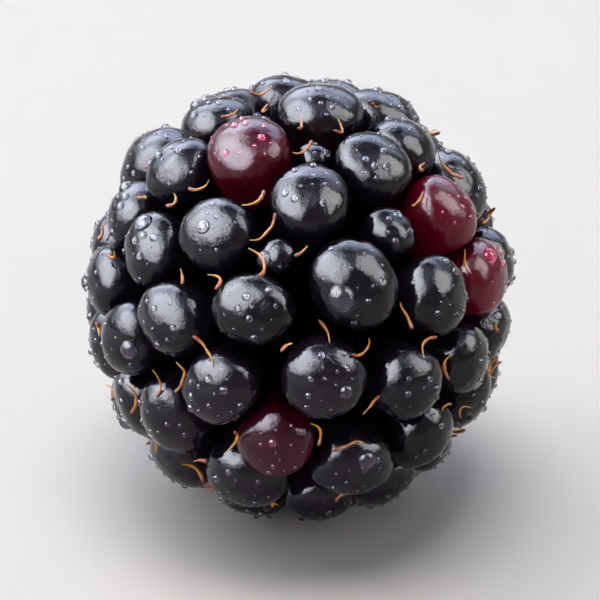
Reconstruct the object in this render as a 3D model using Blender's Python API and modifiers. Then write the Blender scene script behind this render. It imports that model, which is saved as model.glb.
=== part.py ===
"""A ripe bramble berry as picked, lying on its side: one solid fruit, in metres, +Z up.

The fruit is one grown piece: plump drupelets packed in a spiral round a receptacle, whose pale
end shows as a round scar where the stalk came away. The tip points along -Y and the scar along
+Y. The berry rests on the XY plane on the few drupelets that its weight presses flat, and the
origin is below its middle.
"""

import math

import bmesh
import bpy
import numpy as np
from mathutils import Matrix, Vector

MM = 0.001

# Driving dimensions of the fruit.
OUTLINE_LENGTH = 28.4 * MM  # of the ovoid that the drupelets reach; the scar cuts its stem end short
BERRY_WIDTH = 24.2 * MM
TIP_NARROWING = 0.05  # how much slimmer the tip half is than the stem half, as a share of the width
DRUPELET_RADIUS = 2.34 * MM
SPIRAL_COUNT = 90  # before those of the front are chosen
FRONT_ANGLE = math.radians(80)  # nearer the tip than this, only the placed drupelets grow
SCAR_ANGLE = math.radians(30)  # the bare cone round the stem end

# The drupelets of the front, which faces -Y: degrees from the tip, the hour on a clock face seen
# from the tip, and the size as a share of DRUPELET_RADIUS. The others grow between them by rule.
PLACED = (
    (9, 1.7, 0.98),
    (20, 6.8, 0.92),
    (24, 8.9, 0.94),
    (29, 11.0, 0.93),
    (34, 3.0, 0.91),
    (34, 5.2, 0.98),
    (37, 0.8, 1.06),
    (40, 11.7, 0.42),
    (44, 9.8, 0.94),
    (46, 6.7, 1.02),
    (47, 8.2, 0.94),
    (50, 2.1, 0.94),
    (54, 10.9, 0.93),
    (56, 4.4, 0.89),
    (59, 12.1, 1.01),
    (60, 1.2, 0.62),
    (60, 5.7, 0.92),
    (63, 6.6, 0.94),
    (65, 5.1, 0.90),
    (66, 9.0, 0.92),
    (68, 3.3, 0.92),
    (68, 7.3, 0.94),
    (69, 10.1, 0.92),
    (71, 8.1, 0.90),
    (74, 4.6, 0.88),
    (75, 0.2, 0.42),
    (75, 0.9, 0.98),
    (75, 11.5, 1.06),
    (77, 3.9, 0.90),
    (78, 2.5, 1.00),
    (80, 1.7, 0.97),
    (82, 9.4, 0.92),
    (84, 8.7, 0.90),
    (85, 10.7, 0.90),
    (88, 3.3, 0.90),
    (97, 11.6, 0.45),
    (103, 0.3, 1.08),
)
HELD_BACK = 0.03  # how far a placed drupelet gives way, as a share of what a free one does

# How drupelets differ from each other, as shares of DRUPELET_RADIUS.
SIZE_SPREAD = 0.08
FREE_SIZE = 0.96
SMALL_ONES = 5
SMALL_SIZE = 0.6
OVAL_SPREAD = 0.10  # how much longer than round some are
BULGE_SPREAD = 0.06
WOBBLE = 0.08  # how far they lean at random
LIFT_PER_SIZE = 0.3  # how much of its extra radius lifts a large one
LIFT_SPREAD = 0.10 * MM
LIMIT = 1.5  # the farthest draw of any random spread, in standard deviations
BULGE = 0.74  # a drupelet's reach outwards from its widest level
ROOT_DEPTH = 2.15  # its reach inwards, to the receptacle
ROOT_TAPER = 0.3
TIP_LEAN = 0.12  # drupelets lean towards the berry's tip
PRESSING = 8.0  # the power of the smooth limit where neighbours press; higher is sharper
SKIN_GAP = 0.03 * MM

# The packing of the drupelets.
SEED = 98
PACKING_ROUNDS = 300
REACH = 1.3  # neighbours push each other apart within this many summed radii
PUSH = 0.1

# Rest and the receptacle.
CONTACT_DEPTH = 0.25 * MM  # how far the lowest drupelets are pressed flat
SEARCH_STEPS = (0.8, 0.08, 0.008)  # degrees
SEARCH_HALF_WIDTH = 10  # steps each way
CORE_SHARE = 0.97  # the solid flesh under the drupelets, as a share of the level of their centres
PLUG_RADIUS = 3.3 * MM
PLUG_LEVEL = 11.3 * MM  # its top, from the middle of the outline

# Mesh fineness.
SPHERE_CUTS = 3
VOXEL = 0.30 * MM
KEPT_SHARE = 0.09

SKIN_COLOUR = (0.016, 0.010, 0.020, 1.0)
SKIN_ROUGHNESS = 0.2

STEM_END = np.array((0.0, 1.0, 0.0))
DOWN = Vector((0.0, 0.0, -1.0))


def unit(vectors):
    """Each row of an array at length 1."""
    return vectors / np.linalg.norm(vectors, axis=-1, keepdims=True)


def ovoid_axes(depth):
    """Half width, half length and half height of the fruit's outline, taken in by depth."""
    half_width = BERRY_WIDTH / 2 - depth
    return np.array((half_width, OUTLINE_LENGTH / 2 - depth, half_width))


def stretch(directions, depth):
    """What turns directions into points of the outline taken in by depth, slimmer towards the tip."""
    slimming = 1 + TIP_NARROWING * directions[:, 1]
    return ovoid_axes(depth) * np.stack((slimming, np.ones(len(directions)), slimming), axis=1)


def spiral(count):
    """Directions spread evenly in a golden-angle spiral from the tip to the edge of the scar."""
    turns = np.arange(count) * math.pi * (3 - math.sqrt(5))
    along = -1 + (np.arange(count) + 0.5) / count * (1 + math.cos(SCAR_ANGLE))
    across = np.sqrt(1 - along**2)
    return np.stack((across * np.cos(turns), along, across * np.sin(turns)), axis=1)


def placed_directions():
    """The directions of the placed drupelets."""
    from_tip, hour = np.radians(np.array(PLACED)[:, :2] * (1, 30)).T
    across = np.sin(from_tip)
    return np.stack((across * np.sin(hour), -np.cos(from_tip), across * np.cos(hour)), axis=1)


def chosen_directions():
    """Where the drupelets start.

    The placed ones take the nearest places of the spiral, and the free ones that are left between
    them in the front drop out.

    Returns:
        The directions, and the row in PLACED for each one that is placed.
    """
    directions, rows = spiral(SPIRAL_COUNT), {}
    for row, direction in zip(PLACED, placed_directions()):
        closeness = directions @ direction
        closeness[list(rows)] = -math.inf
        nearest = int(closeness.argmax())
        directions[nearest] = direction
        rows[nearest] = row
    in_front = directions @ -STEM_END > math.cos(FRONT_ANGLE)
    kept = [i for i in range(SPIRAL_COUNT) if i in rows or not in_front[i]]
    return directions[kept], {place: rows[i] for place, i in enumerate(kept) if i in rows}


def keep_off_scar(directions):
    """Moves any direction that leans into the scar's cone out to its edge."""
    along = directions @ STEM_END
    edge = math.cos(SCAR_ANGLE)
    sideways = unit(directions - along[:, None] * STEM_END)
    at_edge = edge * STEM_END + math.sin(SCAR_ANGLE) * sideways
    return np.where((along > edge)[:, None], at_edge, directions)


def packed(directions, radii, freedom, depth):
    """Directions after the drupelets have pushed each other to an even packing."""
    wanted = (radii[:, None] + radii[None, :]) * REACH
    for _ in range(PACKING_ROUNDS):
        size = stretch(directions, depth)
        points = directions * size
        apart = points[:, None, :] - points[None, :, :]
        distance = np.linalg.norm(apart, axis=2) + np.eye(len(points))
        overlap = np.clip(wanted - distance, 0, None) * (1 - np.eye(len(points)))
        shift = (apart / distance[..., None] * overlap[..., None]).sum(axis=1) * PUSH
        directions = keep_off_scar(unit((points + shift * freedom[:, None]) / size))
    return directions


class Drupelets:
    """The places, sizes and leanings of all the drupelets, as arrays with one row for each."""

    def __init__(self):
        """Grows the drupelets, packs them and works out which way each one grows."""
        rng = np.random.default_rng(SEED)
        directions, placed = chosen_directions()
        count = len(directions)
        share = FREE_SIZE + SIZE_SPREAD * np.clip(rng.standard_normal(count), -LIMIT, LIMIT)
        share[rng.choice(count, SMALL_ONES, replace=False)] = SMALL_SIZE
        freedom = np.ones(count)
        for i, (_, _, size) in placed.items():
            share[i] = size
            freedom[i] = HELD_BACK
        self.radius = DRUPELET_RADIUS * share
        depth = DRUPELET_RADIUS * BULGE
        directions = packed(directions, self.radius, freedom, depth)
        normal = unit(directions / ovoid_axes(depth))
        lean = unit(-STEM_END + (normal @ STEM_END)[:, None] * normal)
        wobble = WOBBLE * rng.standard_normal((count, 3))
        self.out = unit(normal + TIP_LEAN * lean + wobble)
        lift = LIFT_PER_SIZE * (self.radius - DRUPELET_RADIUS)
        lift += LIFT_SPREAD * np.clip(rng.standard_normal(count), -LIMIT, LIMIT)
        self.centre = directions * stretch(directions, depth) + lift[:, None] * normal
        turned = unit(rng.standard_normal((count, 3)))
        self.side = unit(np.cross(self.out, turned))
        self.across = np.cross(self.out, self.side)
        self.oval = 1 + OVAL_SPREAD * rng.uniform(-1, 1, count)
        self.bulge = BULGE * (1 + BULGE_SPREAD * rng.uniform(-1, 1, count))

    def lowest(self, downs):
        """How far the fruit reaches along each of the directions, from its drupelets' ellipsoids."""
        wide = (self.side @ downs.T) * (self.radius * self.oval)[:, None]
        deep = (self.across @ downs.T) * (self.radius / self.oval)[:, None]
        high = (self.out @ downs.T) * (self.radius * self.bulge)[:, None]
        return (self.centre @ downs.T + np.sqrt(wide**2 + deep**2 + high**2)).max(axis=0)

    def settle(self):
        """Turns the fruit a little, so that its middle is as low as it can be, and sets it down."""
        steps = np.arange(-SEARCH_HALF_WIDTH, SEARCH_HALF_WIDTH + 1)
        grid = np.stack(np.meshgrid(steps, steps), axis=-1).reshape(-1, 2)
        tilt = np.zeros(2)
        for step in SEARCH_STEPS:
            angles = np.radians(grid * step) + tilt
            downs = unit(np.column_stack((np.tan(angles), -np.ones(len(angles)))))
            heights = self.lowest(downs) - downs @ self.centre.mean(axis=0)
            tilt = angles[heights.argmin()]
        lowest_down = Vector((math.tan(tilt[0]), math.tan(tilt[1]), -1.0))
        turn = np.array(lowest_down.rotation_difference(DOWN).to_matrix())
        for name in ("centre", "out", "side", "across"):
            setattr(self, name, getattr(self, name) @ turn.T)
        ends = self.lowest(np.concatenate((np.eye(3), -np.eye(3))))
        middle = (ends[:3] - ends[3:]) / 2
        self.shift = np.array((-middle[0], -middle[1], ends[5] - CONTACT_DEPTH))
        self.centre = self.centre + self.shift
        return turn

    def shaped(self, i, corners):
        """The skin points of drupelet i for the corners of a unit ball, pressed by its neighbours."""
        side, across, out = corners.T
        slim = 1 - ROOT_TAPER * np.clip(-out, 0, None) ** 2
        reach = np.where(out > 0, self.bulge[i], ROOT_DEPTH)
        points = self.radius[i] * (
            (side * slim * self.oval[i])[:, None] * self.side[i]
            + (across * slim / self.oval[i])[:, None] * self.across[i]
            + (out * reach)[:, None] * self.out[i]
        )
        towards = np.delete(self.centre - self.centre[i], i, axis=0)
        distance = np.linalg.norm(towards, axis=1)
        others = np.delete(self.radius, i)
        near = distance < 1.7 * (self.radius[i] + others)
        wall = distance * self.radius[i] / (self.radius[i] + others) - SKIN_GAP / 2
        share = points @ (towards / distance[:, None] / wall[:, None])[near].T
        press = (1 + (np.clip(share, 0, None) ** PRESSING).sum(axis=1)) ** (-1 / PRESSING)
        return self.centre[i] + points * press[:, None]


def clear_scene():
    """Removes the objects that are there when Blender starts."""
    for obj in list(bpy.data.objects):
        bpy.data.objects.remove(obj)


def collection(name):
    """A new collection in the scene."""
    made = bpy.data.collections.new(name)
    bpy.context.scene.collection.children.link(made)
    return made


def skin_material():
    """Glossy purple-black skin."""
    material = bpy.data.materials.new("drupelet_skin")
    material.use_nodes = True
    shader = material.node_tree.nodes["Principled BSDF"]
    shader.inputs["Base Color"].default_value = SKIN_COLOUR
    shader.inputs["Roughness"].default_value = SKIN_ROUGHNESS
    shader.inputs["Metallic"].default_value = 0.0
    return material


def add_drupelet(bm, drupelets, i):
    """Adds drupelet i to the fruit, from a ball that its neighbours press into shape."""
    corners = bmesh.ops.create_icosphere(bm, subdivisions=SPHERE_CUTS, radius=1.0)["verts"]
    points = drupelets.shaped(i, np.array([v.co for v in corners]))
    for corner, point in zip(corners, points):
        corner.co = point


def add_core(bm, to_fruit):
    """Adds the flesh under the drupelets, up to the level of their centres."""
    axes = ovoid_axes(DRUPELET_RADIUS * BULGE) * CORE_SHARE
    size = Matrix.Diagonal((*axes, 1.0))
    bmesh.ops.create_icosphere(bm, subdivisions=4, radius=1.0, matrix=to_fruit @ size)


def add_plug(bm, to_fruit):
    """Adds the receptacle's round end, inside the ring of drupelets at the stem end."""
    length = PLUG_LEVEL / 2
    made = bmesh.ops.create_cone(
        bm, cap_ends=True, segments=32, radius1=PLUG_RADIUS * 1.2, radius2=PLUG_RADIUS, depth=length
    )
    lie_along_y = Matrix.Rotation(-math.pi / 2, 4, "X")
    to_end = Matrix.Translation((0, PLUG_LEVEL - length / 2, 0)) @ lie_along_y
    bmesh.ops.transform(bm, matrix=to_fruit @ to_end, verts=made["verts"])


def add_modifiers(berry, cutter):
    """Fuses the grown shapes into one skin, thins its mesh, and presses its foot flat."""
    fuse = berry.modifiers.new("fuse", "REMESH")
    fuse.mode = "VOXEL"
    fuse.voxel_size = VOXEL
    thin = berry.modifiers.new("thin", "DECIMATE")
    thin.ratio = KEPT_SHARE
    press = berry.modifiers.new("press_flat", "BOOLEAN")
    press.operation = "DIFFERENCE"
    press.object = cutter


def table_cutter(cutters):
    """A block whose top is the surface that the berry lies on."""
    size = 2 * OUTLINE_LENGTH
    mesh = bpy.data.meshes.new("table_cutter")
    bm = bmesh.new()
    bmesh.ops.create_cube(bm, size=size, matrix=Matrix.Translation((0, 0, -size / 2)))
    bm.to_mesh(mesh)
    bm.free()
    cutter = bpy.data.objects.new("table_cutter", mesh)
    cutter.hide_render = True
    cutter.display_type = "WIRE"
    cutters.objects.link(cutter)
    return cutter


def berry_object(fruit):
    """The whole berry before its modifiers: its drupelets, core and plug in one mesh."""
    drupelets = Drupelets()
    turn = Matrix(drupelets.settle()).to_4x4()
    to_fruit = Matrix.Translation(drupelets.shift) @ turn
    bm = bmesh.new()
    add_core(bm, to_fruit)
    add_plug(bm, to_fruit)
    for i in range(len(drupelets.radius)):
        add_drupelet(bm, drupelets, i)
    mesh = bpy.data.meshes.new("berry")
    bm.to_mesh(mesh)
    bm.free()
    berry = bpy.data.objects.new("berry", mesh)
    berry.data.materials.append(skin_material())
    fruit.objects.link(berry)
    return berry


def main():
    """Builds the berry and the cutter that presses its foot flat."""
    clear_scene()
    berry = berry_object(collection("bramble_berry"))
    cutter = table_cutter(collection("cutters"))
    add_modifiers(berry, cutter)
    berry.data.shade_smooth()


main()
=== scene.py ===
"""The looks of a ripe bramble berry: wet, glossy near-black drupelets, a few of them still wine red.

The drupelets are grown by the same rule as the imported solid, so every piece lies where that solid
says. Each sub-assembly is a class: the drupelets, the receptacle, the dried styles, the water and
the studio. Sizes are in millimetres, which MM turns into metres, unless a comment says otherwise.
"""

from __future__ import annotations

import logging
import math
from collections.abc import Iterable, Sequence
from dataclasses import dataclass, field, replace
from enum import Enum

import bmesh
import bpy
import numpy as np
from mathutils import Matrix, Vector


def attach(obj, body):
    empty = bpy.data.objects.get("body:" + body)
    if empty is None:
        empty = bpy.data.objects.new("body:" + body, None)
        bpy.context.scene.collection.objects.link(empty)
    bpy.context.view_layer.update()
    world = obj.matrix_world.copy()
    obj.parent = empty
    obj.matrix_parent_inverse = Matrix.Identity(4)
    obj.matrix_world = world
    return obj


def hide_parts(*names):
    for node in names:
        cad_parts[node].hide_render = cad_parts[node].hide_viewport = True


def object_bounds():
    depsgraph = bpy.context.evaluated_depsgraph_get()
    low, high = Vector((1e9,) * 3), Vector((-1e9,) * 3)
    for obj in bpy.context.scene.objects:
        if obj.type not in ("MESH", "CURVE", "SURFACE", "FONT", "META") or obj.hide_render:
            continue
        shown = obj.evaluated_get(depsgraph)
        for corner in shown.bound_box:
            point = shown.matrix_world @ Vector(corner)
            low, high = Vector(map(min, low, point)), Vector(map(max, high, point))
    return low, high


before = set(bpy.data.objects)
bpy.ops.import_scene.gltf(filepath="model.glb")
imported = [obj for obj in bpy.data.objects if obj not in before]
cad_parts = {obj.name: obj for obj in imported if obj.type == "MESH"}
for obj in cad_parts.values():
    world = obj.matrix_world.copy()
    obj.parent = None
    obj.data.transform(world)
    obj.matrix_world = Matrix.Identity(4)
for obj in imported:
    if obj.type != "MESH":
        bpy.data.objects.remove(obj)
CAD_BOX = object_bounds()

MM = 0.001
TINY = 1e-6  # added to a distance that may be nothing, before it divides
MERGED = 0.001 * MM  # points of a turned mesh that are closer than this become one
BODY = "root"
BERRY_NODE = "berry"
LOG = logging.getLogger("bramble_berry")

Array = np.ndarray
Colour = tuple[float, float, float]


# ---------------------------------------------------------------------------------------------
# Node trees
# ---------------------------------------------------------------------------------------------


@dataclass
class Graph:
    """A node tree, with short ways to add its nodes and join them.

    Attributes:
        tree: The tree that nodes are added to.
    """

    tree: bpy.types.NodeTree

    def node(self, kind: str, inputs: dict | None = None, **settings: object) -> bpy.types.Node:
        """Adds a node.

        Args:
            kind: The node's type name in Blender.
            inputs: What each input socket takes, by name or number: another socket or a value.
            **settings: The node's own settings.

        Returns:
            The new node.
        """
        made = self.tree.nodes.new(kind)
        for name, value in settings.items():
            setattr(made, name, value)
        for key, value in (inputs or {}).items():
            self.feed(made.inputs[key], value)
        return made

    def feed(self, socket: bpy.types.NodeSocket, value: object) -> None:
        """Joins a socket to another one, or sets its own value."""
        if isinstance(value, bpy.types.NodeSocket):
            self.tree.links.new(value, socket)
        elif value is not None:
            socket.default_value = value

    def math(self, operation: str, *values: object) -> bpy.types.NodeSocket:
        """The result of a math node on up to three numbers or sockets."""
        made = self.node("ShaderNodeMath", dict(enumerate(values)), operation=operation)
        return made.outputs[0]

    def vector(self, operation: str, *values: object) -> bpy.types.NodeSocket:
        """The vector result of a vector math node."""
        return self.node(
            "ShaderNodeVectorMath", dict(enumerate(values)), operation=operation
        ).outputs["Vector"]

    def scaled(self, vector: object, by: object) -> bpy.types.NodeSocket:
        """A vector times a number."""
        made = self.node("ShaderNodeVectorMath", {0: vector, "Scale": by}, operation="SCALE")
        return made.outputs["Vector"]

    def measure(self, operation: str, *values: object) -> bpy.types.NodeSocket:
        """The number that a vector math node gives, such as a length or a dot product."""
        return self.node(
            "ShaderNodeVectorMath", dict(enumerate(values)), operation=operation
        ).outputs["Value"]

    def remap(self, value: object, low: float, high: float,
              to: Sequence[float] = (0.0, 1.0)) -> bpy.types.NodeSocket:
        """A number carried smoothly from the range low..high to another range."""
        made = self.node(
            "ShaderNodeMapRange",
            {"Value": value, "From Min": low, "From Max": high, "To Min": to[0], "To Max": to[1]},
            interpolation_type="SMOOTHSTEP",
        )
        return made.outputs["Result"]

    def blend(self, share: object, first: object, second: object) -> bpy.types.NodeSocket:
        """A colour between two, by share."""
        made = self.node("ShaderNodeMix", data_type="RGBA")
        for place, value in ((0, share), (6, first), (7, second)):
            self.feed(made.inputs[place], value)
        return made.outputs[2]

    def noise(self, vector: object, scale: object, detail: float = 2.0) -> bpy.types.NodeSocket:
        """Soft noise from 0 to 1 over a vector."""
        made = self.node("ShaderNodeTexNoise", {"Vector": vector, "Scale": scale, "Detail": detail})
        return made.outputs["Fac"]

    def combine(self, x: object, y: object, z: object) -> bpy.types.NodeSocket:
        """A vector from its three parts."""
        return self.node("ShaderNodeCombineXYZ", {0: x, 1: y, 2: z}).outputs[0]

    def parts(self, vector: object) -> list[bpy.types.NodeSocket]:
        """The three parts of a vector."""
        return list(self.node("ShaderNodeSeparateXYZ", {0: vector}).outputs)


def rgba(colour: Colour) -> tuple[float, float, float, float]:
    """A colour with full alpha."""
    return (*colour, 1.0)


@dataclass
class GrowthTree(Graph):
    """A Geometry Nodes tree with named inputs, and what each one is set to.

    Attributes:
        settings: The value for each named input, by the socket's identifier.
        group_in: The node that the named inputs and the starting geometry come out of.
    """

    settings: dict[str, object] = field(default_factory=dict)
    group_in: bpy.types.Node | None = None

    @classmethod
    def new(cls, name: str) -> GrowthTree:
        """An empty tree that takes a geometry in and gives one out."""
        tree = bpy.data.node_groups.new(name, "GeometryNodeTree")
        tree.is_modifier = True
        tree.interface.new_socket("Geometry", in_out="INPUT", socket_type="NodeSocketGeometry")
        tree.interface.new_socket("Geometry", in_out="OUTPUT", socket_type="NodeSocketGeometry")
        made = cls(tree)
        made.group_in = tree.nodes.new("NodeGroupInput")
        return made

    def given(self, name: str, value: object) -> bpy.types.NodeSocket:
        """Adds a named input of the value's own kind, and returns its socket inside the tree."""
        kinds = {
            float: "NodeSocketFloat",
            int: "NodeSocketInt",
            bpy.types.Material: "NodeSocketMaterial",
            bpy.types.Object: "NodeSocketObject",
        }
        kind = next(kinds[known] for known in kinds if isinstance(value, known))
        socket = self.tree.interface.new_socket(name, in_out="INPUT", socket_type=kind)
        self.settings[socket.identifier] = value
        return self.group_in.outputs[name]

    def attribute(self, name: str, kind: str = "FLOAT_VECTOR") -> bpy.types.NodeSocket:
        """Reads a named attribute."""
        made = self.node("GeometryNodeInputNamedAttribute", {"Name": name}, data_type=kind)
        return made.outputs["Attribute"]

    def store(self, geometry: object, name: str, value: object,
              kind: str = "FLOAT") -> bpy.types.NodeSocket:
        """Writes a named attribute on the points of a geometry."""
        made = self.node(
            "GeometryNodeStoreNamedAttribute",
            {"Geometry": geometry, "Name": name, "Value": value},
            data_type=kind,
            domain="POINT",
        )
        return made.outputs[0]

    def position(self) -> bpy.types.NodeSocket:
        """Where each point is."""
        return self.node("GeometryNodeInputPosition").outputs[0]

    def normal(self) -> bpy.types.NodeSocket:
        """Which way each point's surface faces."""
        return self.node("GeometryNodeInputNormal").outputs[0]

    def moved(self, geometry: object, to: object = None,
              by: object = None) -> bpy.types.NodeSocket:
        """Puts the points of a geometry somewhere else."""
        made = self.node(
            "GeometryNodeSetPosition", {"Geometry": geometry, "Position": to, "Offset": by}
        )
        return made.outputs[0]

    def set_down(self, geometry: object) -> bpy.types.NodeSocket:
        """Presses flat on the surface what would reach below it."""
        x, y, z = self.parts(self.position())
        return self.moved(geometry, to=self.combine(x, y, self.math("MAXIMUM", z, 0.0)))

    def joined(self, pieces: Iterable[bpy.types.Object]) -> bpy.types.NodeSocket:
        """The meshes of finished pieces, as one geometry. Each piece is a named input."""
        join = self.node("GeometryNodeJoinGeometry")
        for number, piece in enumerate(pieces, 1):
            skin = self.given(f"Skin {number}", piece)
            read = self.node("GeometryNodeObjectInfo", {"Object": skin})
            self.tree.links.new(read.outputs["Geometry"], join.inputs[0])
        return join.outputs[0]

    def pushed_out(self, geometry: object, skins: object, gap: object) -> bpy.types.NodeSocket:
        """Moves the points of a geometry that are under the skins, or closer than gap, out to it."""
        place = self.position()
        nearest = self.node(
            "GeometryNodeProximity", {"Geometry": skins, "Sample Position": place},
            target_element="FACES",
        ).outputs["Position"]
        facing = self.node(
            "GeometryNodeSampleNearestSurface",
            {"Mesh": skins, "Value": self.normal(), "Sample Position": place},
            data_type="FLOAT_VECTOR",
        ).outputs["Value"]
        height = self.measure("DOT_PRODUCT", self.vector("SUBTRACT", place, nearest), facing)
        missing = self.math("MAXIMUM", self.math("SUBTRACT", gap, height), 0.0)
        return self.moved(geometry, by=self.scaled(facing, missing))

    def chance(self, low: float, high: float, seed: int) -> bpy.types.NodeSocket:
        """A number drawn for each element, the same each run."""
        made = self.node("FunctionNodeRandomValue", data_type="FLOAT")
        ends = [s for s in made.inputs if s.type == "VALUE"]
        ends[0].default_value = low
        ends[1].default_value = high
        made.inputs["Seed"].default_value = seed
        return next(s for s in made.outputs if s.type == "VALUE")

    def finish(self, geometry: object, material: bpy.types.NodeSocket) -> None:
        """Ends the tree: real meshes, shaded smooth, with their material."""
        real = self.node("GeometryNodeRealizeInstances", {"Geometry": geometry}).outputs[0]
        smooth = self.node("GeometryNodeSetShadeSmooth", {"Geometry": real}).outputs[0]
        dressed = self.node(
            "GeometryNodeSetMaterial", {"Geometry": smooth, "Material": material}
        ).outputs[0]
        self.node("NodeGroupOutput", {0: dressed})

    def grown(self, name: str, start: bpy.types.Mesh, keep: Iterable[str] = ()) -> bpy.types.Object:
        """Runs the tree on a mesh.

        Args:
            name: What the new object is called.
            start: The mesh that the tree starts from.
            keep: The attributes that a finish or a later tree reads. The others are dropped.

        Returns:
            A plain mesh object at the origin, with no modifier.
        """
        source = bpy.data.objects.new(f"{name}_start", start)
        bpy.context.scene.collection.objects.link(source)
        modifier = source.modifiers.new("growth", "NODES")
        modifier.node_group = self.tree
        for identifier, value in self.settings.items():
            modifier[identifier] = value
        graph = bpy.context.evaluated_depsgraph_get()
        mesh = bpy.data.meshes.new_from_object(source.evaluated_get(graph), depsgraph=graph)
        bpy.data.objects.remove(source)
        mesh.name = name
        for unread in [a.name for a in mesh.attributes if not a.is_internal and not a.is_required]:
            if unread not in keep and unread not in ("sharp_face", "material_index"):
                mesh.attributes.remove(mesh.attributes[unread])
        made = bpy.data.objects.new(name, mesh)
        bpy.context.scene.collection.objects.link(made)
        return made


def points_mesh(name: str, places: Array, attributes: dict[str, Array]) -> bpy.types.Mesh:
    """A mesh of loose points for a tree to start from.

    Args:
        name: The mesh's name.
        places: A row for each point.
        attributes: A number or a vector for each point, by attribute name.

    Returns:
        The mesh.
    """
    mesh = bpy.data.meshes.new(name)
    mesh.vertices.add(len(places))
    mesh.vertices.foreach_set("co", places.astype(np.float32).ravel())
    for key, values in attributes.items():
        vectors = values.ndim == 2
        made = mesh.attributes.new(key, "FLOAT_VECTOR" if vectors else "FLOAT", "POINT")
        made.data.foreach_set("vector" if vectors else "value", values.astype(np.float32).ravel())
    return mesh


# ---------------------------------------------------------------------------------------------
# Finishes
# ---------------------------------------------------------------------------------------------


class Slot(Enum):
    """The record's material slots."""

    RIPE_SKIN = "drupelet_skin"
    RED_SKIN = "ripening_skin"
    FLESH = "receptacle_flesh"
    STYLE = "dried_style"
    WATER = "water"


def shader_group(name: str, inputs: dict[str, float], outputs: dict[str, str]) -> Graph:
    """An empty shader node group.

    Args:
        name: The group's name.
        inputs: The default of each number that goes in. All groups also take a Vector.
        outputs: The socket kind of each thing that comes out: Float or Color.

    Returns:
        The group, with its input node named "in" and its output node named "out".
    """
    tree = bpy.data.node_groups.new(name, "ShaderNodeTree")
    tree.interface.new_socket("Vector", in_out="INPUT", socket_type="NodeSocketVector")
    for key, value in inputs.items():
        socket = tree.interface.new_socket(key, in_out="INPUT", socket_type="NodeSocketFloat")
        socket.default_value = value
    for key, kind in outputs.items():
        tree.interface.new_socket(key, in_out="OUTPUT", socket_type=f"NodeSocket{kind}")
    made = Graph(tree)
    tree.nodes.new("NodeGroupInput").name = "in"
    tree.nodes.new("NodeGroupOutput").name = "out"
    return made


class SharedEffects:
    """The shader node groups that more than one finish uses, each built once.

    Attributes:
        CELL_HEIGHT: How high the cells stand, as a share of the waves.
        WAVE_DETAIL: How much fine detail the waves have.
        DULL_FROM: The wave level at which the gloss begins to dull, and where it is dullest.
        PATCH_DETAIL: How much fine detail the patches of blush have.
        LOW_DOWN: What is added to the patches' level low on a drupelet's side, and on its face.
        BLUSH_FROM: The level at which the blush begins, and where it is full.
        cells: The skin's cells and waves.
        blush: The skin's blush.
    """

    CELL_HEIGHT = 0.16
    WAVE_DETAIL = 3.5
    DULL_FROM = (0.35, 0.75)
    PATCH_DETAIL = 2.0
    LOW_DOWN = (0.10, -0.25)
    BLUSH_FROM = (0.75, 1.15)

    def __init__(self) -> None:
        """Builds the groups."""
        self.cells = self._cells()
        self.blush = self._blush()

    def _cells(self) -> bpy.types.NodeTree:
        """The skin's fine cells and waves, as a height and as a change in gloss."""
        group = shader_group(
            "skin_cells",
            {"Cells": 6500.0, "Waves": 900.0},
            {"Height": "Float", "Dullness": "Float"},
        )
        given = group.tree.nodes["in"].outputs
        cells = group.node(
            "ShaderNodeTexVoronoi",
            {"Vector": given["Vector"], "Scale": given["Cells"]},
            feature="SMOOTH_F1",
        ).outputs["Distance"]
        waves = group.noise(given["Vector"], given["Waves"], self.WAVE_DETAIL)
        height = group.math("ADD", waves, group.math("MULTIPLY", cells, self.CELL_HEIGHT))
        out = group.tree.nodes["out"].inputs
        group.feed(out["Height"], height)
        group.feed(out["Dullness"], group.remap(waves, *self.DULL_FROM))
        return group.tree

    def _blush(self) -> bpy.types.NodeTree:
        """Where a drupelet keeps some of its red: in patches, more so low on its sides."""
        group = shader_group(
            "blush",
            {"Amount": 0.3, "Patches": 420.0, "Outwards": 1.0},
            {"Mask": "Float"},
        )
        given = group.tree.nodes["in"].outputs
        patches = group.noise(given["Vector"], given["Patches"], self.PATCH_DETAIL)
        low_down = group.remap(given["Outwards"], 0.0, 1.0, self.LOW_DOWN)
        level = group.math("ADD", group.math("ADD", patches, low_down), given["Amount"])
        mask = group.remap(level, *self.BLUSH_FROM)
        group.feed(group.tree.nodes["out"].inputs["Mask"], mask)
        return group.tree


@dataclass(frozen=True)
class Finish:
    """What every finish has.

    Attributes:
        name: The material's name.
    """

    name: str

    def start(self) -> tuple[Graph, bpy.types.Node, bpy.types.Material]:
        """A new material with its shader.

        Returns:
            The material's tree, its Principled shader and the material.
        """
        material = bpy.data.materials.new(self.name)
        material.use_nodes = True
        graph = Graph(material.node_tree)
        return graph, graph.tree.nodes["Principled BSDF"], material

    @staticmethod
    def place(graph: Graph) -> bpy.types.NodeSocket:
        """The point being shaded, in the object's own frame."""
        return graph.node("ShaderNodeTexCoord").outputs["Object"]

    @staticmethod
    def bump(graph: Graph, height: object, relief: float) -> bpy.types.NodeSocket:
        """A normal from a height, whose relief is in millimetres."""
        made = graph.node(
            "ShaderNodeBump", {"Height": height, "Distance": relief * MM, "Strength": 1.0}
        )
        return made.outputs["Normal"]

    @staticmethod
    def read(graph: Graph, name: str) -> bpy.types.NodeSocket:
        """A value that the mesh carries."""
        return graph.node("ShaderNodeAttribute", attribute_name=name).outputs["Fac"]


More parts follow.
